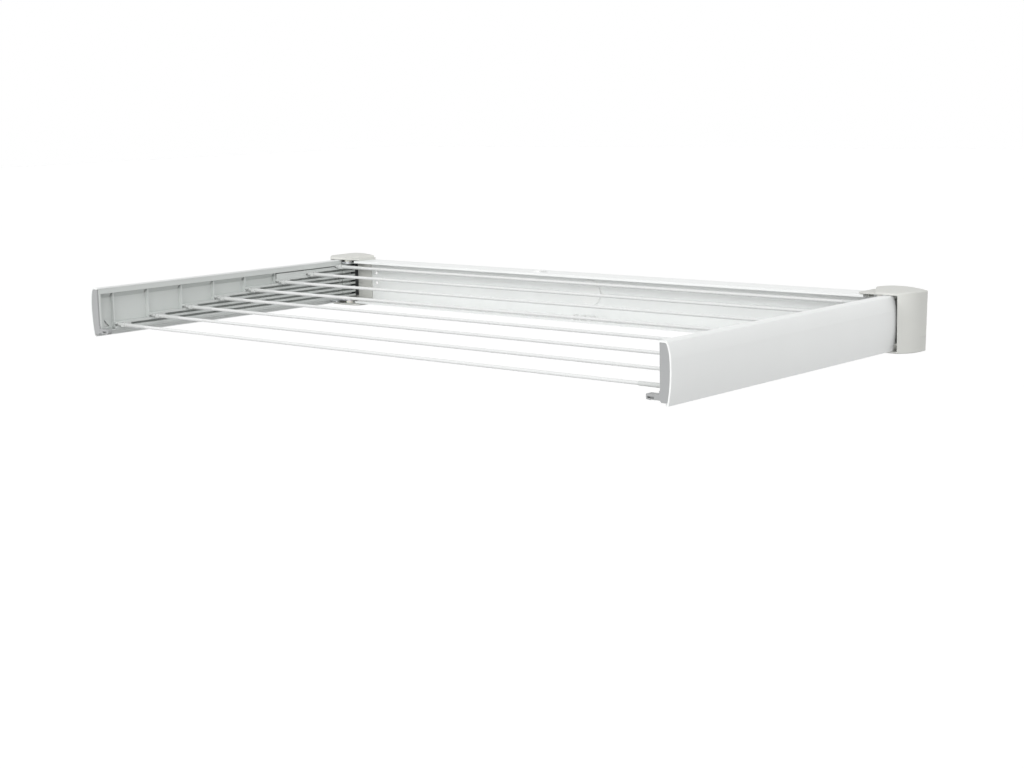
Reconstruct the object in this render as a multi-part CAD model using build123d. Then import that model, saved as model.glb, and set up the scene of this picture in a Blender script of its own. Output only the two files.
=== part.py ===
from build123d import *
import os

# Wall drying rack with eight sliding rods, in millimetres.
# Frame: +X right, +Z up, wall plane at y = 0, the rack reaches out towards -Y.
# The origin lies on the wall, midway along the rail and at mid height.
# Everything on the right (+X) side is drawn first and mirrored for the left.

# ---- Wall rail: an open channel that faces the room ----
RAIL_HALF_LENGTH = 478.0
RAIL_HALF_HEIGHT = 35.0
RAIL_DEPTH = 43.0
RAIL_WALL = 2.0
RAIL_LIP_DROP = 3.5
RAIL_LIP_WALL = 1.5
RIDGE_Z = 4.0
RIDGE_HEIGHT = 1.2
WALL_HOLE_X = 468.0
WALL_HOLE_RADIUS = 2.75
WALL_HOLE_MID_Z = 4.0
WALL_HOLE_SPACING = 16.0
DISC_X = -10.0
DISC_Z = 5.0
DISC_RADIUS = 20.0
DISC_THICKNESS = 1.4
CLIP_SLOT_X = (-88.0, -78.0)
CLIP_SLOT_Y = (-30.0, -14.0)
CLIP_WALL = 1.4
CLIP_PAD_LENGTH = 10.0
CLIP_TOE_LENGTH = 3.0
RIDGE_FOOT_HALF = 1.4
RIDGE_CREST_HALF = 0.5
CATCH_X = (1.5, 13.0)
CATCH_HALF_LENGTH = 19.0
CATCH_Y = (-40.5, -26.5)
CATCH_TOP_Z = -25.2
CLEAR = 1.0

# ---- Arms: a curved shell, a moulded inner frame and an end plate ----
ARM_INNER_X = 509.0
ARM_TOP_FLAT_X = 519.2
ARM_CORNER_X = 521.9
ARM_CORNER_Z = 34.4
ARM_SHOULDER_X = 524.6
ARM_SHOULDER_Z = 25.9
ARM_JOIN_Z = 17.0
ARM_CROWN_X = 526.5
ARM_CROWN_Z = 3.6
ARM_CROWN_RADIUS = 183.0
ARM_HALF_HEIGHT = 36.0
ARM_REAR_Y = -42.0
ARM_FRONT_Y = -529.0
SHELL_WALL = 1.8
SHELL_LIP = 5.0
SHELL_LIP_WALL = 1.4
SHELL_RIM_WALL = 2.2

FRAME_BACK_X = 521.0
FRAME_FLOOR = 1.5
FRAME_TOP_Z = 34.0
FRAME_BOTTOM_Z = -28.8
FRAME_SKIN = 1.6
RIB_THICKNESS = 2.2
RIB_INSET = 4.0
RIB_NOTCH = 3.2
POST_REAR_Y = -526.3
SLOPE_LOW_Z = 19.2
PANEL_INSET = 1.2
PANEL_TOP_Z = 25.0

# ---- Rods and their T-slots ----
ROD_COUNT = 8
ROD_RADIUS = 2.25
ROD_HALF_LENGTH = 487.0
FIRST_ROD_Y = -50.0
ROD_STEP_Y = 63.2
FIRST_ROD_Z = 25.0
ROD_STEP_Z = 6.7
PARKED_Y = -20.0

RAIL_WEB = 1.6
RAIL_HEAD = 3.4
RAIL_HEAD_DEPTH = 2.5

SHOE_LENGTH = 12.0
SHOE_HEIGHT = 4.7
SHOE_NEAR_X = 512.2
SHOE_FAR_X = 518.7
NECK_HEIGHT = 2.7
NECK_INNER_X = 503.0
COLLAR_LENGTH = 9.0
COLLAR_HEIGHT = 6.0
COLLAR_INNER_X = 497.0
COVER_X = (503.4, 508.5)
COVER_REACH = 14.0
COVER_LOW = -0.4
SLEEVE_END_X = 452.0
SLEEVE_BIG_RADIUS = 3.0
SLEEVE_SMALL_RADIUS = 2.65
SLEEVE_BORE_RADIUS = 2.3
STOP_GAP = 1.5

# ---- Hinges between arms and end caps ----
HINGE_X = 500.0
HINGE_Y = -35.0
PIN_RADIUS = 2.5
PIN_BORE_RADIUS = 2.6
PIN_SEAT_RADIUS = 2.52
EAR_RADIUS = 6.5
EAR_NEAR_Z = 29.4
EAR_FAR_Z = 32.3
TONGUE_FRONT_Y = -62.0
TONGUE_X = (512.2, 517.0)
WASHER_RADIUS = 5.5
BRACKET_SCREW_Y = -52.0
BRACKET_SCREW_X = 514.6
BRACKET_HOLE_RADIUS = 1.6
SCREW_ACCESS_RADIUS = 2.9

# ---- End caps ----
CAP_INNER_X = 470.0
CAP_OUTER_X = 548.0
CAP_MOUTH_X = 529.5
CAP_LEAN = 1.0
CAP_FRONT_Y = -46.0
CAP_SIDE_Y = -14.0
CAP_INSIDE_Z = 36.5
CAP_CROWN_Z = 44.0
CAP_CROWN_X = 505.0
CAP_INNER_TOP_Z = 40.4
CAP_OUTER_TOP_Z = 39.8
CAP_FRONT_TOP_Z = 39.2
CAP_STEP_Z = 38.0
CAP_STEP_BACK_X = 473.0
CAP_STEP_FRONT_X = 498.0
CAP_PIN_TOP_Z = 38.4
CAP_BOTTOM_Z = -39.0
CAP_TOP_RADIUS = 1.8
CAP_BOTTOM_RADIUS = 1.4
CAP_WALL = 3.0
CAP_SCREW_X = 472.0
CAP_SCREW_Y = -26.0
CAP_SCREW_RADIUS = 1.5
CAP_SCREW_HEAD_RADIUS = 2.8
CAP_LUG_X = (464.0, 480.0)
CAP_LUG_Y = (-33.0, -19.0)
CAP_LUG_THICKNESS = 1.9
GUIDE_FRONT_Y = -40.5
GUIDE_STOP_Y = -12.0
GUIDE_BACK_X = 523.0
BUFFER_INNER_X = 510.0

# ---- Latch ----
TAB_TIP_X = 490.0
TAB_Z = (-30.8, -24.2)
TAB_REAR_Y = -522.0
END_PLATE_FRONT_Y = -532.0
END_PLATE_BOTTOM_Z = -33.0
END_PLATE_CORNER = 3.0
END_PLATE_RECESS = 0.3
END_PLATE_GAP = 0.1
END_PLATE_INNER_X = 510.2
END_PLATE_STEP_Z = -20.0
PEG_Z = (8.0, 16.0)


def block(x_span, y_span, z_span):
    """Box between two X, two Y and two Z values."""
    size = [abs(span[1] - span[0]) for span in (x_span, y_span, z_span)]
    middle = [(span[0] + span[1]) / 2 for span in (x_span, y_span, z_span)]
    return Pos(*middle) * Box(*size)


def rod_along(axis, at, radius, span):
    """Cylinder along X, Y or Z through at, between the two values in span."""
    turn = {"X": Rot(0, 90, 0), "Y": Rot(90, 0, 0), "Z": Rot(0, 0, 0)}[axis]
    middle = (span[0] + span[1]) / 2
    place = {
        "X": (middle, at[0], at[1]),
        "Y": (at[0], middle, at[1]),
        "Z": (at[0], at[1], middle),
    }[axis]
    return Pos(*place) * turn * Cylinder(radius, abs(span[1] - span[0]))


def prism(wire, direction, length):
    """Solid swept straight from a closed flat wire."""
    return extrude(Face(wire), amount=length, dir=direction)


def outline(points):
    """Closed wire of straight sides through the points."""
    return Wire(Polyline(*points, close=True).edges())


def mirrored(shape):
    return mirror(shape, about=Plane.YZ)


def rod_place(index):
    """Y and Z of a rod's axis, counted from 0 at the rod nearest the wall."""
    return FIRST_ROD_Y - index * ROD_STEP_Y, FIRST_ROD_Z - index * ROD_STEP_Z


def slot_rail_z(index):
    """Mid height of the guide rail above slot index; the last one is below the last slot."""
    return FIRST_ROD_Z + (0.5 - index) * ROD_STEP_Z


def slot_rail(index, y_span):
    """T-section guide rail: a web with a wider head that keeps the shoes in."""
    mid_z = slot_rail_z(index)
    web = block(
        (ARM_INNER_X + RAIL_HEAD_DEPTH, FRAME_BACK_X - FRAME_FLOOR),
        y_span,
        (mid_z - RAIL_WEB / 2, mid_z + RAIL_WEB / 2),
    )
    top_z = mid_z + (RAIL_WEB if index == 0 else RAIL_HEAD) / 2
    head = block(
        (ARM_INNER_X, ARM_INNER_X + RAIL_HEAD_DEPTH),
        y_span,
        (mid_z - RAIL_HEAD / 2, top_z),
    )
    return web + head


# ---------------------------------------------------------------- wall rail
def wall_rail():
    front = -RAIL_DEPTH
    inside = RAIL_HALF_HEIGHT - RAIL_WALL
    lip_end = RAIL_HALF_HEIGHT - RAIL_LIP_DROP
    lip_y = front + RAIL_LIP_WALL
    back = -RAIL_WALL
    crest = back - RIDGE_HEIGHT
    upper = [
        (0, RAIL_HALF_HEIGHT),
        (front, RAIL_HALF_HEIGHT),
        (front, lip_end),
        (lip_y, lip_end),
        (lip_y, inside),
        (back, inside),
    ]
    ridge = [
        (back, RIDGE_Z + RIDGE_FOOT_HALF),
        (crest, RIDGE_Z + RIDGE_CREST_HALF),
        (crest, RIDGE_Z - RIDGE_CREST_HALF),
        (back, RIDGE_Z - RIDGE_FOOT_HALF),
    ]
    lower = [(y, -z) for y, z in reversed(upper)]
    section = [(-RAIL_HALF_LENGTH, y, z) for y, z in upper + ridge + lower]
    rail = prism(outline(section), (1, 0, 0), 2 * RAIL_HALF_LENGTH)
    for side in (-1, 1):
        for half in (-0.5, 0.5):
            hole_z = WALL_HOLE_MID_Z + half * WALL_HOLE_SPACING
            rail -= rod_along("Y", (side * WALL_HOLE_X, hole_z), WALL_HOLE_RADIUS, (-6, 1))
        for z in (-1, 1):
            screw = (side * CAP_SCREW_X, CAP_SCREW_Y)
            flange = (z * (inside - CLEAR), z * (RAIL_HALF_HEIGHT + CLEAR))
            rail -= rod_along("Z", screw, CAP_SCREW_RADIUS + 0.1, flange)
        pocket = (side * (RAIL_HALF_LENGTH + 1), side * (WALL_HOLE_X - WALL_HOLE_RADIUS - 4))
        rail -= block(pocket, (back, crest - 1), (RIDGE_Z - 2, RIDGE_Z + 2))
    rail -= rod_along("Y", (DISC_X, DISC_Z), DISC_RADIUS + 0.3, (back, back - 3))
    rail -= block(CLIP_SLOT_X, CLIP_SLOT_Y, (inside - CLEAR, RAIL_HALF_HEIGHT + CLEAR))
    return rail


def cover_disc():
    """Plain round cover on the rail's back plate."""
    disc = rod_along("Y", (DISC_X, DISC_Z), DISC_RADIUS, (-RAIL_WALL, -RAIL_WALL - DISC_THICKNESS))
    rim = disc.edges().group_by(Axis.Y)[0]
    return fillet(rim, 0.6)


def flange_clip():
    """Small clip hooked into the slot in the rail's top flange."""
    edge = CLIP_SLOT_X[0]
    leg_far = edge + 0.2 + CLIP_WALL
    span = (CLIP_SLOT_Y[0] + 2, CLIP_SLOT_Y[1] - 2)
    top = RAIL_HALF_HEIGHT
    under = top - RAIL_WALL - 0.2
    pad = block((edge - CLIP_PAD_LENGTH, leg_far), span, (top, top + CLIP_WALL))
    leg = block((edge + 0.2, leg_far), span, (under - CLIP_WALL, top))
    toe = block((edge - CLIP_TOE_LENGTH, leg_far), span, (under - CLIP_WALL, under))
    return pad + leg + toe


def centre_catch():
    """Catch on the rail's lower flange that takes both arms' latch tabs when they are shut."""
    half = CATCH_HALF_LENGTH
    catch = block((-half, half), CATCH_Y, (RAIL_WALL - RAIL_HALF_HEIGHT, CATCH_TOP_Z))
    through = (CATCH_Y[0] - CLEAR, CATCH_Y[1] + CLEAR)
    for side in (-1, 1):
        pocket_x = (side * CATCH_X[0], side * CATCH_X[1])
        catch -= block(pocket_x, through, (TAB_Z[0] - CLEAR, CATCH_TOP_Z + CLEAR))
    return catch


# ---------------------------------------------------------------- end caps
def cap_plan(offset, z):
    """D-shaped plan of the cap, drawn in by offset; it leans inwards towards the foot."""
    inner = CAP_INNER_X
    lean = CAP_LEAN * (z / CAP_BOTTOM_Z + 1)
    side = CAP_OUTER_X - offset - lean
    front = CAP_FRONT_Y + offset
    nose_x = CAP_MOUTH_X - offset - lean + CAP_LEAN
    lines = [
        Line((inner, 0, z), (side, 0, z)),
        Line((side, 0, z), (side, CAP_SIDE_Y, z)),
        TangentArc((side, CAP_SIDE_Y, z), (nose_x, front, z), tangent=(0, -1, 0)),
        Line((nose_x, front, z), (inner + 10, front, z)),
        Line((inner + 10, front, z), (inner, front + 6, z)),
        Line((inner, front + 6, z), (inner, 0, z)),
    ]
    return Wire(lines)


def crown_across():
    """Face-on outline whose arched top crowns the cap's roof from side to side."""
    low = CAP_BOTTOM_Z - 1
    inner, outer = CAP_INNER_X - 1, CAP_OUTER_X + 1
    inner_top = (inner, -50, CAP_INNER_TOP_Z)
    outer_top = (outer, -50, CAP_OUTER_TOP_Z)
    return Wire([
        Line((inner, -50, low), (outer, -50, low)),
        Line((outer, -50, low), outer_top),
        ThreePointArc(outer_top, (CAP_CROWN_X, -50, CAP_CROWN_Z), inner_top),
        Line(inner_top, (inner, -50, low)),
    ])


def crown_along():
    """Side outline whose arched top lets the roof fall towards the front."""
    x = CAP_INNER_X - 1
    low = CAP_BOTTOM_Z - 1
    front = CAP_FRONT_Y - 1
    back_top = (x, 1, CAP_CROWN_Z)
    front_top = (x, front, CAP_FRONT_TOP_Z)
    middle = (x, front / 2, (CAP_CROWN_Z + CAP_FRONT_TOP_Z) / 2 + 0.8)
    return Wire([
        Line((x, 1, low), back_top),
        ThreePointArc(back_top, middle, front_top),
        Line(front_top, (x, front, low)),
        Line((x, front, low), (x, 1, low)),
    ])


def end_cap():
    """Moulded hinge housing for the right end, open at the front and towards the rail."""
    body = loft([Face(cap_plan(0, CAP_BOTTOM_Z)), Face(cap_plan(0, CAP_CROWN_Z + 1))], ruled=True)
    body &= prism(crown_across(), (0, 1, 0), 60)
    body &= prism(crown_along(), (1, 0, 0), 100)
    rim = body.edges().filter_by(lambda edge: edge.center().Z > CAP_INSIDE_Z + 2)
    body = fillet(rim.filter_by(lambda edge: edge.center().Y < -1), CAP_TOP_RADIUS)
    # The dome stops at a slanting step; inwards of it the roof is thin.
    inner, back, front = CAP_INNER_X - CLEAR, CLEAR, CAP_FRONT_Y - CLEAR
    step = [(inner, back), (CAP_STEP_BACK_X, back), (CAP_STEP_FRONT_X, front), (inner, front)]
    step_wire = outline([(x, y, CAP_STEP_Z) for x, y in step])
    body -= prism(step_wire, (0, 0, 1), CAP_CROWN_Z + CLEAR - CAP_STEP_Z)
    foot = body.edges().group_by(Axis.Z)[0]
    body = fillet(foot.filter_by(lambda edge: edge.center().Y < -1), CAP_BOTTOM_RADIUS)
    room_plans = [Face(cap_plan(CAP_WALL, z)) for z in (-CAP_INSIDE_Z, CAP_INSIDE_Z)]
    room = loft(room_plans, ruled=True)
    body -= room
    # The front between the rail and the mouth's outer lip is open for the arm.
    body -= block((CAP_INNER_X - 1, CAP_MOUTH_X), (CAP_FRONT_Y - 1, -36), (-CAP_INSIDE_Z, CAP_INSIDE_Z))
    # Back wall beside the rail's end.
    body += block((RAIL_HALF_LENGTH + 0.5, CAP_OUTER_X - 3), (-CAP_WALL, 0), (-CAP_INSIDE_Z, CAP_INSIDE_Z))
    # Ribs that carry the parking guide from behind.
    for z in (-18, 0, 18):
        body += block((GUIDE_BACK_X, CAP_OUTER_X - 1), (-14, -1), (z - 1, z + 1))
    for up in (-1, 1):
        # Seat strip that closes the step onto the rail's flange.
        seat = (up * RAIL_HALF_HEIGHT, up * (CAP_INSIDE_Z + 1))
        body += block((CAP_INNER_X, RAIL_HALF_LENGTH + 2), (-38, -1), seat)
        # Lug under the rail's flange, joined to the seat beyond the rail's end.
        lug_far = up * (RAIL_HALF_HEIGHT - RAIL_WALL - 0.05)
        lug_near = lug_far - up * CAP_LUG_THICKNESS
        body += block(CAP_LUG_X, CAP_LUG_Y, (lug_near, lug_far))
        body += block((RAIL_HALF_LENGTH + 0.3, CAP_LUG_X[1]), CAP_LUG_Y, (lug_near, up * CAP_INSIDE_Z))
        screw = (CAP_SCREW_X, CAP_SCREW_Y)
        body -= rod_along("Z", screw, CAP_SCREW_RADIUS + 0.1, (up * 28, lug_far + up * 0.01))
        pin_end = CAP_PIN_TOP_Z if up > 0 else CAP_BOTTOM_Z + 1
        body -= rod_along("Z", (HINGE_X, HINGE_Y), PIN_SEAT_RADIUS, (0, pin_end))
    return body


def cap_screws():
    """Two small screws that hold the cap's lugs to the rail's flanges."""
    screws = []
    for up in (-1, 1):
        at = (CAP_SCREW_X, CAP_SCREW_Y)
        lug_near = up * (RAIL_HALF_HEIGHT - RAIL_WALL - 0.05 - CAP_LUG_THICKNESS)
        shank = rod_along("Z", at, CAP_SCREW_RADIUS, (lug_near, up * (RAIL_HALF_HEIGHT - 0.2)))
        head = rod_along("Z", at, CAP_SCREW_HEAD_RADIUS, (lug_near, lug_near - up * 1.4))
        drive = Pos(at[0], at[1], lug_near - up * 1.4) * Box(0.8, 3.6, 1.2)
        screws.append(shank + head - drive)
    return Compound(children=screws)


def parking_guide():
    """Slotted insert in the cap that takes over the shoes from the arm when rods are parked."""
    guide = block(
        (FRAME_BACK_X - FRAME_FLOOR, GUIDE_BACK_X),
        (GUIDE_FRONT_Y, -CAP_WALL),
        (slot_rail_z(ROD_COUNT) - RAIL_HEAD / 2, slot_rail_z(0) + RAIL_WEB / 2),
    )
    for index in range(ROD_COUNT + 1):
        guide += slot_rail(index, (GUIDE_FRONT_Y, GUIDE_STOP_Y))
    return guide


def parking_buffer():
    """Rubber strip behind the guide that stops the shoes of parked rods."""
    z_span = (slot_rail_z(ROD_COUNT) - RAIL_HEAD / 2, slot_rail_z(0) + RAIL_WEB / 2)
    strip = block((BUFFER_INNER_X, FRAME_BACK_X - FRAME_FLOOR), (GUIDE_STOP_Y, -CAP_WALL), z_span)
    return chamfer(strip.faces().sort_by(Axis.X)[0].edges().filter_by(Axis.Z), 0.8)


# ---------------------------------------------------------------- hinges
def hinge_pin(up):
    """Vertical pin from the cap's roof (up = 1) or floor (up = -1) into the bracket's ear."""
    near = up * (EAR_NEAR_Z - 0.4)
    far = CAP_PIN_TOP_Z - 0.2 if up > 0 else CAP_BOTTOM_Z + 1.2
    return rod_along("Z", (HINGE_X, HINGE_Y), PIN_RADIUS, (near, far))


def hinge_washers():
    """Spacer rings between the bracket's ears and the cap."""
    rings = []
    for up in (-1, 1):
        span = (up * (EAR_FAR_Z + 0.15), up * (CAP_INSIDE_Z - 0.15))
        ring = rod_along("Z", (HINGE_X, HINGE_Y), WASHER_RADIUS, span)
        rings.append(ring - rod_along("Z", (HINGE_X, HINGE_Y), PIN_BORE_RADIUS, span))
    return Compound(children=rings)


def hinge_bracket(up):
    """Flat steel ear on the hinge pin, with the tongue that reaches into the arm."""
    plan = [
        (TONGUE_X[0], TONGUE_FRONT_Y),
        (TONGUE_X[1], TONGUE_FRONT_Y),
        (TONGUE_X[1], ARM_REAR_Y + 1.5),
        (HINGE_X + 4.0, HINGE_Y + 5.1),
        (HINGE_X - 4.0, HINGE_Y - 5.1),
        (TONGUE_X[0], ARM_REAR_Y + 0.4),
    ]
    z_low = min(up * EAR_NEAR_Z, up * EAR_FAR_Z)
    height = EAR_FAR_Z - EAR_NEAR_Z
    beyond = (z_low - 1, z_low + height + 1)
    plate = prism(outline([(x, y, z_low) for x, y in plan]), (0, 0, 1), height)
    plate += rod_along("Z", (HINGE_X, HINGE_Y), EAR_RADIUS, (z_low, z_low + height))
    plate -= rod_along("Z", (HINGE_X, HINGE_Y), PIN_BORE_RADIUS, beyond)
    plate -= rod_along("Z", (BRACKET_SCREW_X, BRACKET_SCREW_Y), BRACKET_HOLE_RADIUS, beyond)
    return plate


def bracket_screw(up):
    """Screw that joins a bracket's tongue to the arm's inner frame."""
    at = (BRACKET_SCREW_X, BRACKET_SCREW_Y)
    if up > 0:
        seat = FRAME_TOP_Z
        tip = EAR_NEAR_Z + 0.5
    else:
        seat = -EAR_FAR_Z
        tip = FRAME_BOTTOM_Z + FRAME_SKIN + 0.6
    crown = seat + up * 1.3
    drive = Pos(at[0], at[1], crown) * Box(0.8, 3.4, 1.2)
    return rod_along("Z", at, 1.5, (tip, seat)) + rod_along("Z", at, 2.6, (seat, crown)) - drive


# ---------------------------------------------------------------- arms
def crown_x(z, inset=0.0):
    """X of the arm's crowned outer face at a height, drawn in by inset."""
    fall = ARM_CROWN_RADIUS - (ARM_CROWN_RADIUS**2 - (z - ARM_CROWN_Z) ** 2) ** 0.5
    return ARM_CROWN_X - fall - inset


def crowned_side(y, foot_z, inset=0.0):
    """Top flat, corner, shoulder and crown of the arm's section, from the top down to foot_z."""
    top = (ARM_TOP_FLAT_X - 0.45 * inset, y, ARM_HALF_HEIGHT - inset)
    corner = (ARM_CORNER_X - 0.8 * inset, y, ARM_CORNER_Z - 0.85 * inset)
    shoulder = (ARM_SHOULDER_X - inset, y, ARM_SHOULDER_Z - 0.2 * inset)
    join = (crown_x(ARM_JOIN_Z, inset), y, ARM_JOIN_Z)
    middle_z = (ARM_JOIN_Z + foot_z) / 2
    middle = (crown_x(middle_z, inset), y, middle_z)
    foot = (crown_x(foot_z, inset), y, foot_z)
    edges = [
        Line((ARM_INNER_X, y, ARM_HALF_HEIGHT - inset), top),
        Line(top, corner),
        ThreePointArc(corner, shoulder, join),
        ThreePointArc(join, middle, foot),
    ]
    return edges, foot


def arm_shell():
    """Thin curved cover: flat top, rounded shoulder, crowned face and a small lip along the foot."""
    low = -ARM_HALF_HEIGHT
    shell = shell_ring(ARM_FRONT_Y, ARM_REAR_Y, low, SHELL_WALL)
    # Thicker rim round the end plate.
    shell += shell_ring(END_PLATE_FRONT_Y, ARM_FRONT_Y, low, SHELL_RIM_WALL)
    shell -= rod_along("Z", (BRACKET_SCREW_X, BRACKET_SCREW_Y), SCREW_ACCESS_RADIUS, (30, 40))
    return shell


def shell_ring(front, rear, low, wall):
    """Stretch of the cover between two Y values, with its own wall thickness."""
    outer, foot = crowned_side(front, low)
    inner, inner_foot = crowned_side(front, low + SHELL_LIP_WALL, wall)
    lip_x = foot[0] - SHELL_LIP
    top = ARM_HALF_HEIGHT
    section = Wire(outer + inner + [
        Line(foot, (lip_x, front, low)),
        Line((lip_x, front, low), (lip_x, front, low + SHELL_LIP_WALL)),
        Line((lip_x, front, low + SHELL_LIP_WALL), inner_foot),
        Line((ARM_INNER_X, front, top - wall), (ARM_INNER_X, front, top)),
    ])
    return prism(section, (0, 1, 0), rear - front)


def rod_stop_y(index):
    """Front end of a rod's slot, where its shoe meets the stop rib."""
    return rod_place(index)[0] - SHOE_LENGTH / 2 - STOP_GAP


def arm_frame():
    """Moulded tray inside the arm with the staircase of T-slots and the stop ribs."""
    inner = ARM_INNER_X
    lip = inner + RAIL_HEAD_DEPTH
    floor_near = FRAME_BACK_X - FRAME_FLOOR
    run = (ARM_FRONT_Y, ARM_REAR_Y)
    lip_low = slot_rail_z(0) - RAIL_HEAD / 2
    under = FRAME_TOP_Z - FRAME_SKIN
    top_beam = [
        (inner, lip_low),
        (inner, FRAME_TOP_Z),
        (TONGUE_X[1] + 0.3, FRAME_TOP_Z),
        (FRAME_BACK_X, FRAME_TOP_Z - 4.2),
        (FRAME_BACK_X, lip_low),
        (floor_near, lip_low),
        (floor_near, under - 2.6),
        (TONGUE_X[1] + 0.2, under),
        (lip, under),
        (lip, lip_low),
    ]
    frame = prism(outline([(x, run[0], z) for x, z in top_beam]), (0, 1, 0), run[1] - run[0])
    frame += block((floor_near, FRAME_BACK_X), run, (FRAME_BOTTOM_Z, lip_low + 1))
    frame += block((inner, FRAME_BACK_X), run, (FRAME_BOTTOM_Z, FRAME_BOTTOM_Z + FRAME_SKIN))
    for index in range(ROD_COUNT + 1):
        stop = rod_stop_y(min(index, ROD_COUNT - 1))
        frame += slot_rail(index, (stop - RIB_THICKNESS, ARM_REAR_Y))
    for index in range(ROD_COUNT):
        stop = rod_stop_y(index)
        rib_span = (slot_rail_z(index + 1), lip_low + 0.5)
        frame += block((inner + RIB_INSET, floor_near + 0.5), (stop - RIB_THICKNESS, stop), rib_span)
    # Front post beside the end plate.
    frame += block((inner, lip + 1), (ARM_FRONT_Y, POST_REAR_Y), (FRAME_BOTTOM_Z, lip_low + 0.5))
    # Sloped strip under the top lip, notched in front of each rib.
    slope = [
        (lip + 0.5, lip_low - 0.2),
        (floor_near, SLOPE_LOW_Z),
        (floor_near + 1, SLOPE_LOW_Z),
        (floor_near + 1, SLOPE_LOW_Z + 1.4),
        (lip + 2.0, lip_low + 1.0),
        (lip - 0.5, lip_low + 1.0),
        (lip - 0.5, lip_low - 0.2),
    ]
    slope_run = (ARM_FRONT_Y, rod_stop_y(2) - 0.5)
    wire = outline([(x, slope_run[0], z) for x, z in slope])
    frame += prism(wire, (0, 1, 0), slope_run[1] - slope_run[0])
    for index in range(2, ROD_COUNT):
        rib_front = rod_stop_y(index) - RIB_THICKNESS
        notch_z = (SLOPE_LOW_Z + 1.8, lip_low - 0.8)
        frame -= block((lip, FRAME_BACK_X + 1), (rib_front - RIB_NOTCH, rib_front), notch_z)
    # Flush panels close the upper corners behind the third and second stops.
    for index in (2, 1):
        panel_y = (rod_stop_y(index), rod_stop_y(index - 1))
        panel_x = (inner + PANEL_INSET, inner + PANEL_INSET + FRAME_SKIN)
        frame += block(panel_x, panel_y, (slot_rail_z(index), PANEL_TOP_Z))
    # Moulded three-cornered opening near the front.
    gusset = [(-515.3, -12.5), (-506.5, -23.5), (-514.0, -23.5)]
    frame -= prism(outline([(floor_near - 1, y, z) for y, z in gusset]), (1, 0, 0), 4)
    for span in ((under - 1, FRAME_TOP_Z + 1), (FRAME_BOTTOM_Z - 1, FRAME_BOTTOM_Z + FRAME_SKIN + 1)):
        frame -= rod_along("Z", (BRACKET_SCREW_X, BRACKET_SCREW_Y), BRACKET_HOLE_RADIUS, span)
    return frame


def end_plate():
    """Moulded plate that closes the arm's front, with the rounded latch tab."""
    y = END_PLATE_FRONT_Y + END_PLATE_RECESS
    bottom = END_PLATE_BOTTOM_Z
    cut = END_PLATE_CORNER
    inset = SHELL_RIM_WALL + END_PLATE_GAP
    outer, foot = crowned_side(y, bottom, inset)
    top_z = ARM_HALF_HEIGHT - inset
    section = Wire(outer + [
        Line(foot, (ARM_INNER_X + cut, y, bottom)),
        Line((ARM_INNER_X + cut, y, bottom), (ARM_INNER_X, y, bottom + cut)),
        Line((ARM_INNER_X, y, bottom + cut), (ARM_INNER_X, y, top_z)),
    ])
    plate = prism(section, (0, 1, 0), ARM_FRONT_Y - y)
    # The inner edge steps back above the latch tab.
    edge_x = (ARM_INNER_X - CLEAR, END_PLATE_INNER_X)
    plate -= block(edge_x, (y - CLEAR, ARM_FRONT_Y + CLEAR), (END_PLATE_STEP_Z, top_z + CLEAR))
    plate = chamfer(plate.faces().sort_by(Axis.Y)[0].edges(), 0.4)
    tab_front = END_PLATE_FRONT_Y + 0.6
    tab = block((TAB_TIP_X, ARM_INNER_X - 0.2), (tab_front, TAB_REAR_Y), TAB_Z)
    tab = fillet(tab.faces().sort_by(Axis.X)[0].edges(), 2.2)
    tab += block((ARM_INNER_X - 8, ARM_INNER_X + 2), (tab_front, ARM_FRONT_Y), TAB_Z)
    # Recess in the tab's front and the hook below it.
    recess_z = (TAB_Z[0] + 1.4, TAB_Z[0] + 3.6)
    tab -= block((TAB_TIP_X + 3, ARM_INNER_X - 7), (tab_front - 1, tab_front + 4), recess_z)
    hook_z = (TAB_Z[0] - 0.8, TAB_Z[0] + 1)
    hook = block((TAB_TIP_X + 3, TAB_TIP_X + 6), (tab_front + 2, TAB_REAR_Y - 2), hook_z)
    peg_x = (ARM_INNER_X + RAIL_HEAD_DEPTH + 2, ARM_INNER_X + RAIL_HEAD_DEPTH + 7)
    peg = block(peg_x, (ARM_FRONT_Y - 1, ARM_FRONT_Y + 2.5), PEG_Z)
    return plate + tab + hook + peg


# ---------------------------------------------------------------- rods
def rod(index):
    y, z = rod_place(index)
    bar = rod_along("X", (y, z), ROD_RADIUS, (-ROD_HALF_LENGTH, ROD_HALF_LENGTH))
    return chamfer(bar.edges().filter_by(GeomType.CIRCLE), 0.5)


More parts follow.
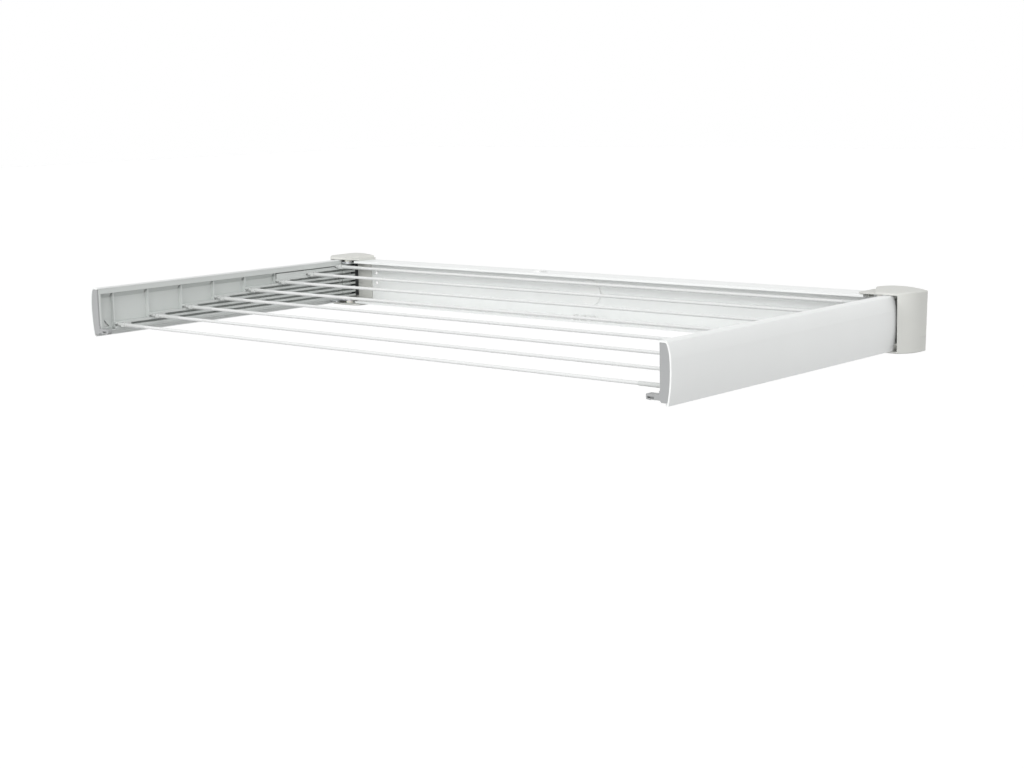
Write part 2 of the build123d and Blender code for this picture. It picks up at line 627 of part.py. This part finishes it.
def carrier(index):
    """Right-hand carrier: shoe in the T-slot, neck, collar, slot cover and the sleeve on the rod."""
    y, z = rod_place(index)
    half = SHOE_LENGTH / 2
    shoe_z = (z - SHOE_HEIGHT / 2, z + SHOE_HEIGHT / 2)
    shoe = block((SHOE_NEAR_X, SHOE_FAR_X), (y - half, y + half), shoe_z)
    shoe = fillet(shoe.edges().filter_by(Axis.X), 1.0)
    neck = block(
        (NECK_INNER_X, SHOE_NEAR_X + 1),
        (y - half + 2, y + half - 2),
        (z - NECK_HEIGHT / 2, z + NECK_HEIGHT / 2),
    )
    collar = block(
        (COLLAR_INNER_X, NECK_INNER_X + 1.5),
        (y - COLLAR_LENGTH / 2, y + COLLAR_LENGTH / 2),
        (z - COLLAR_HEIGHT / 2, z + COLLAR_HEIGHT / 2),
    )
    collar = fillet(collar.edges().filter_by(Axis.X), 1.2)
    # Cover strip that hides the slot on the wall side of the rod.
    cover = block(COVER_X, (y - half, y + COVER_REACH), (z + COVER_LOW, z + COLLAR_HEIGHT / 2))
    cover = fillet(cover.edges().filter_by(Axis.X), 0.8)
    length = COLLAR_INNER_X + 1 - SLEEVE_END_X
    sleeve = Pos((COLLAR_INNER_X + 1 + SLEEVE_END_X) / 2, y, z) * Rot(0, 90, 0)
    sleeve = sleeve * Cone(SLEEVE_SMALL_RADIUS, SLEEVE_BIG_RADIUS, length)
    part = shoe + neck + collar + cover + sleeve
    part -= rod_along("X", (y, z), SLEEVE_BORE_RADIUS, (SLEEVE_END_X - 1, ROD_HALF_LENGTH + 0.3))
    return part


# ---------------------------------------------------------------- assembly
def build_parts():
    parts = {
        "wall_rail": wall_rail(),
        "rail_cover_disc": cover_disc(),
        "rail_flange_clip": flange_clip(),
        "centre_catch": centre_catch(),
    }
    right_side = {
        "end_cap": end_cap(),
        "cap_screws": cap_screws(),
        "parking_guide": parking_guide(),
        "parking_buffer": parking_buffer(),
        "upper_hinge_pin": hinge_pin(1),
        "lower_hinge_pin": hinge_pin(-1),
        "hinge_washers": hinge_washers(),
        "upper_hinge_bracket": hinge_bracket(1),
        "lower_hinge_bracket": hinge_bracket(-1),
        "bracket_screws": Compound(children=[bracket_screw(1), bracket_screw(-1)]),
        "arm_shell": arm_shell(),
        "arm_frame": arm_frame(),
        "arm_end_plate": end_plate(),
    }
    for name, shape in right_side.items():
        parts["right_" + name] = shape
        parts["left_" + name] = mirrored(shape)
    for index in range(ROD_COUNT):
        label = f"rod_{index + 1}"
        right = carrier(index)
        parts[label] = rod(index)
        parts[label + "_right_carrier"] = right
        parts[label + "_left_carrier"] = mirrored(right)
    return parts


def main():
    os.makedirs("parts", exist_ok=True)
    for name, shape in build_parts().items():
        export_step(shape, f"parts/{name}.step")


if __name__ == "__main__":
    main()
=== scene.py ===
import math

import bpy
from mathutils import Matrix, Vector

# Wall drying rack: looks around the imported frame. Everything is in metres.
# +X right, +Z up, the wall is the plane y = 0 and the rack reaches towards -Y.

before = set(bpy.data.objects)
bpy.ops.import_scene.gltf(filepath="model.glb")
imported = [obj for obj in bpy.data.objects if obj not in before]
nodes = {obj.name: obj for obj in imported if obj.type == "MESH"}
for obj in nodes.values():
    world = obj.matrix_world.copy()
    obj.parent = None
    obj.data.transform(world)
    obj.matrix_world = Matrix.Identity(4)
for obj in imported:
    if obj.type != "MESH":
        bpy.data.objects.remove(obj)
bpy.context.view_layer.update()

# ---- Camera ----
CAMERA_AT = Vector((1.6445, -2.0616, 0.3058))
CAMERA_AZIMUTH = math.radians(41.4)
CAMERA_DROP = math.radians(9.4)
CAMERA_ROLL = math.radians(-1.3)
CAMERA_LENS = 62.05
SENSOR_WIDTH = 36.0
CAMERA_CLIP = (0.01, 100)


def add_camera():
    """Camera that looks inwards at the azimuth, down by the drop, and rolled a little."""
    az, drop = CAMERA_AZIMUTH, CAMERA_DROP
    ahead = Vector((
        -math.sin(az) * math.cos(drop),
        math.cos(az) * math.cos(drop),
        -math.sin(drop),
    ))
    level = Vector((math.cos(az), math.sin(az), 0))
    upright = level.cross(ahead)
    right = math.cos(CAMERA_ROLL) * level + math.sin(CAMERA_ROLL) * upright
    up = math.cos(CAMERA_ROLL) * upright - math.sin(CAMERA_ROLL) * level
    data = bpy.data.cameras.new("camera")
    data.sensor_width = SENSOR_WIDTH
    data.lens = CAMERA_LENS
    data.clip_start, data.clip_end = CAMERA_CLIP
    camera = bpy.data.objects.new("camera", data)
    turn = Matrix((right, up, -ahead)).transposed().to_4x4()
    camera.matrix_world = Matrix.Translation(CAMERA_AT) @ turn
    bpy.context.scene.collection.objects.link(camera)
    bpy.context.scene.camera = camera


add_camera()


# ---- Node helpers ----
NOISE_ROUGHNESS = 0.55
RAMP_FROM, RAMP_TO = 0.3, 0.7   # the part of a noise's range that a ramp spreads out
WHITE = (1, 1, 1, 1)


class Shader:
    """Small wrapper that adds nodes to a tree and links them by socket name."""

    def __init__(self, tree):
        self.tree = tree
        tree.nodes.clear()

    def add(self, kind, links=None, **settings):
        node = self.tree.nodes.new(kind)
        for name, value in settings.items():
            setattr(node, name, value)
        for socket, value in (links or {}).items():
            if isinstance(value, bpy.types.NodeSocket):
                self.tree.links.new(value, node.inputs[socket])
            else:
                node.inputs[socket].default_value = value
        return node

    def ramp(self, factor, stops):
        """Colour ramp of (position, grey or colour) stops."""
        node = self.add("ShaderNodeValToRGB", {"Fac": factor})
        elements = node.color_ramp.elements
        while len(elements) < len(stops):
            elements.new(0.5)
        for element, (position, shade) in zip(elements, stops):
            element.position = position
            element.color = (*shade, 1) if isinstance(shade, tuple) else (shade, shade, shade, 1)
        return node.outputs["Color"]


def noise(shader, scale, stretch=(1, 1, 1), detail=3.0):
    """Noise of so many grains per metre, drawn out along an axis whose stretch is below 1."""
    place = shader.add("ShaderNodeTexCoord").outputs["Object"]
    mapped = shader.add("ShaderNodeMapping", {"Vector": place, "Scale": stretch})
    made = shader.add(
        "ShaderNodeTexNoise",
        {
            "Vector": mapped.outputs["Vector"],
            "Scale": scale,
            "Detail": detail,
            "Roughness": NOISE_ROUGHNESS,
        },
    )
    return made.outputs["Fac"]


def graded(shader, factor, low, high):
    """Grey or colour that goes from low to high with the factor."""
    return shader.ramp(factor, [(RAMP_FROM, low), (RAMP_TO, high)])


def tinted(shader, factor, colour, spread):
    """Colour that varies by a share of itself, either way, with the factor."""
    dark = tuple(c * (1 - spread) for c in colour)
    light = tuple(min(1.0, c * (1 + spread)) for c in colour)
    return graded(shader, factor, dark, light)


def bumped(shader, layers):
    """Normal from several (height, strength, depth) layers, one over the other."""
    normal = None
    for height, strength, depth in layers:
        links = {"Height": height, "Strength": strength, "Distance": depth}
        if normal is not None:
            links["Normal"] = normal
        normal = shader.add("ShaderNodeBump", links).outputs["Normal"]
    return normal


def surface(name, build):
    """Material whose Principled shader takes the sockets that build returns."""
    material = bpy.data.materials.new(name)
    material.use_nodes = True
    shader = Shader(material.node_tree)
    bsdf = shader.add("ShaderNodeBsdfPrincipled", build(shader))
    shader.add("ShaderNodeOutputMaterial", {"Surface": bsdf.outputs["BSDF"]})
    return material


# ---- Materials ----
LACQUER = (0.85, 0.865, 0.858)
CAP_PLASTIC = (0.64, 0.645, 0.615)
TRAY_PLASTIC = (0.62, 0.645, 0.63)
PLATE_PLASTIC = (0.365, 0.372, 0.375)
# Near-black colour for the parking buffer: painted shade that stands in for the dark gap at the end
# of the parking slots, not the colour of the plastic.
GAP_SHADE_BLACK = (0.03, 0.031, 0.034)
CARRIER_PLASTIC = (0.61, 0.625, 0.615)
CATCH_PLASTIC = (0.87, 0.88, 0.87)
ROD_COATING = (0.71, 0.72, 0.715)
ZINC = (0.62, 0.63, 0.65)
NYLON = (0.78, 0.77, 0.72)


def lacquered(along):
    """White lacquer on an extruded profile: faint draw lines and a soft orange peel."""
    stretch = (1, 60, 60) if along == "X" else (60, 1, 60)

    def build(shader):
        lines = noise(shader, 14, stretch, detail=4)
        peel = noise(shader, 520, detail=2)
        cloud = noise(shader, 9, detail=2)
        return {
            "Base Color": tinted(shader, cloud, LACQUER, 0.012),
            "Roughness": graded(shader, lines, 0.33, 0.42),
            "Normal": bumped(shader, [(lines, 0.06, 0.0002), (peel, 0.05, 0.0001)]),
            "Specular IOR Level": 0.45,
            "Coat Weight": 0.12,
            "Coat Roughness": 0.2,
        }

    return build


def moulded(colour, grain, relief, rough):
    """Moulded plastic with a fine spark-eroded grain and a slow drift in tone."""

    def build(shader):
        fine = noise(shader, grain, detail=2)
        cloud = noise(shader, 14, detail=3)
        return {
            "Base Color": tinted(shader, cloud, colour, 0.02),
            "Roughness": graded(shader, fine, rough - 0.05, rough + 0.06),
            "Normal": bumped(shader, [(fine, relief, 0.00015), (cloud, 0.05, 0.001)]),
            "Specular IOR Level": 0.4,
        }

    return build


def coated_rod(shader):
    """Glossy dipped coating on drawn wire."""
    lumps = noise(shader, 90, (0.25, 1, 1), detail=2)
    peel = noise(shader, 700, detail=1)
    return {
        "Base Color": tinted(shader, lumps, ROD_COATING, 0.01),
        "Roughness": graded(shader, peel, 0.24, 0.32),
        "Normal": bumped(shader, [(lumps, 0.08, 0.0003), (peel, 0.04, 0.0001)]),
        "Coat Weight": 0.3,
        "Coat Roughness": 0.12,
    }


def zinc(shader):
    """Bright zinc plating with a fine mottle."""
    mottle = noise(shader, 420, detail=4)
    scratch = noise(shader, 160, (1, 1, 12), detail=2)
    return {
        "Base Color": tinted(shader, mottle, ZINC, 0.08),
        "Metallic": 0.9,
        "Roughness": graded(shader, mottle, 0.28, 0.42),
        "Normal": bumped(shader, [(scratch, 0.08, 0.0001)]),
    }


def nylon(shader):
    """Slightly waxy nylon."""
    fine = noise(shader, 600, detail=2)
    return {
        "Base Color": tinted(shader, fine, NYLON, 0.02),
        "Roughness": graded(shader, fine, 0.42, 0.52),
        "Normal": bumped(shader, [(fine, 0.06, 0.0001)]),
        "Subsurface Weight": 0.1,
        "Subsurface Scale": 0.002,
    }


RAIL_LACQUER = surface("rail_lacquer", lacquered("X"))
ARM_LACQUER = surface("arm_lacquer", lacquered("Y"))
CAP_GREY = surface("cap_grey_plastic", moulded(CAP_PLASTIC, 900, 0.16, 0.52))
TRAY_GREY = surface("tray_plastic", moulded(TRAY_PLASTIC, 1100, 0.1, 0.48))
PLATE_GREY = surface("end_plate_plastic", moulded(PLATE_PLASTIC, 1100, 0.1, 0.45))
# Painted shade: the parking buffer is made near black so that it reads as the dark gap deep in the
# arm.
PAINTED_GAP_SHADE = surface("painted_gap_shade", moulded(GAP_SHADE_BLACK, 900, 0.12, 0.5))
CARRIER_GREY = surface("carrier_plastic", moulded(CARRIER_PLASTIC, 1100, 0.08, 0.4))
CATCH_WHITE = surface("catch_plastic", moulded(CATCH_PLASTIC, 1000, 0.09, 0.42))
ROD_WHITE = surface("rod_coating", coated_rod)
ZINC_PLATE = surface("zinc_plate", zinc)
NYLON_WAXY = surface("nylon", nylon)

# Finish by the ending of a node's name. The rods' own names have none of these endings.
BY_ENDING = {
    "wall_rail": RAIL_LACQUER,
    "arm_shell": ARM_LACQUER,
    "end_cap": CAP_GREY,
    "arm_frame": TRAY_GREY,
    "arm_end_plate": PLATE_GREY,
    "parking_guide": TRAY_GREY,
    # The parking buffer gets the near-black painted shade of a dark gap.
    "parking_buffer": PAINTED_GAP_SHADE,
    "rail_cover_disc": CATCH_WHITE,
    "rail_flange_clip": CATCH_WHITE,
    "centre_catch": CATCH_WHITE,
    "carrier": CARRIER_GREY,
    "hinge_pin": ZINC_PLATE,
    "hinge_bracket": ZINC_PLATE,
    "screws": ZINC_PLATE,
    "hinge_washers": NYLON_WAXY,
}

for name, node in nodes.items():
    finish = next((m for ending, m in BY_ENDING.items() if name.endswith(ending)), ROD_WHITE)
    for slot in node.material_slots:
        slot.material = finish


# ---- Floor and light ----
FLOOR_Z = -1.4
FLOOR_HALF = 40.0
GLOW_FROM = Vector((0.5, -0.8, 0.34))
GLOW_FALLOFF = 4.0
GLOW_STRENGTH = 1.0
FLOOR_COLOUR = (0.98, 0.98, 0.98, 1)
FLOOR_ROUGHNESS = 0.8
FLOOR_GLOW = 0.1
# (height, brightness) of the tent, with height 0 straight down and 1 straight up
TENT = [(0.0, 0.22), (0.38, 0.32), (0.47, 1.0), (0.6, 1.0), (0.85, 0.84), (1.0, 0.56)]
SOFTBOX_AT = (-0.35, -3.6, 0.85)
SOFTBOX_AIM = (0.0, 0.0, 0.0)
SOFTBOX_SIZE = (1.0, 0.6)
SOFTBOX_WATTS = 28


def add_floor():
    mesh = bpy.data.meshes.new("floor")
    signs = [(-1, -1), (1, -1), (1, 1), (-1, 1)]
    corners = [(x * FLOOR_HALF, y * FLOOR_HALF, FLOOR_Z) for x, y in signs]
    mesh.from_pydata(corners, [], [(0, 1, 2, 3)])
    floor = bpy.data.objects.new("floor", mesh)
    bpy.context.scene.collection.objects.link(floor)

    def build(shader):
        return {
            "Base Color": FLOOR_COLOUR,
            "Roughness": FLOOR_ROUGHNESS,
            "Emission Color": WHITE,
            "Emission Strength": FLOOR_GLOW,
        }

    mesh.materials.append(surface("pale_floor", build))
    floor.visible_diffuse = False


def add_world():
    """Soft tent of light: white round the horizon, dimmer above and below, with a front glow."""
    world = bpy.data.worlds.new("studio")
    bpy.context.scene.world = world
    world.use_nodes = True
    shader = Shader(world.node_tree)
    way = shader.add("ShaderNodeTexCoord").outputs["Generated"]
    height = shader.add("ShaderNodeSeparateXYZ", {"Vector": way}).outputs["Z"]
    share = shader.add(
        "ShaderNodeMapRange", {"Value": height, "From Min": -1.0, "From Max": 1.0}
    ).outputs["Result"]
    tone = shader.ramp(share, TENT)
    facing = shader.add("ShaderNodeVectorMath", operation="DOT_PRODUCT")
    shader.tree.links.new(way, facing.inputs[0])
    facing.inputs[1].default_value = GLOW_FROM.normalized()
    ahead = shader.add("ShaderNodeMath", {0: facing.outputs["Value"], 1: 0.0}, operation="MAXIMUM")
    lobe = shader.add("ShaderNodeMath", {0: ahead.outputs[0], 1: GLOW_FALLOFF}, operation="POWER")
    glow = shader.add("ShaderNodeMath", {0: lobe.outputs[0], 1: GLOW_STRENGTH}, operation="MULTIPLY")
    base = shader.add("ShaderNodeBackground", {"Color": tone, "Strength": 1.0})
    front = shader.add("ShaderNodeBackground", {"Strength": glow.outputs[0]})
    front.inputs["Color"].default_value = WHITE
    both = shader.add("ShaderNodeAddShader", {0: base.outputs[0], 1: front.outputs[0]})
    shader.add("ShaderNodeOutputWorld", {"Surface": both.outputs[0]})


def add_softbox(name, at, aim, size, power):
    data = bpy.data.lights.new(name, "AREA")
    data.shape = "RECTANGLE"
    data.size, data.size_y = size
    data.energy = power
    lamp = bpy.data.objects.new(name, data)
    lamp.location = at
    lamp.rotation_mode = "QUATERNION"
    lamp.rotation_quaternion = (Vector(aim) - Vector(at)).to_track_quat("-Z", "Y")
    bpy.context.scene.collection.objects.link(lamp)


add_floor()
add_world()
add_softbox("front", SOFTBOX_AT, SOFTBOX_AIM, SOFTBOX_SIZE, SOFTBOX_WATTS)
bpy.context.scene.view_settings.view_transform = "Standard"
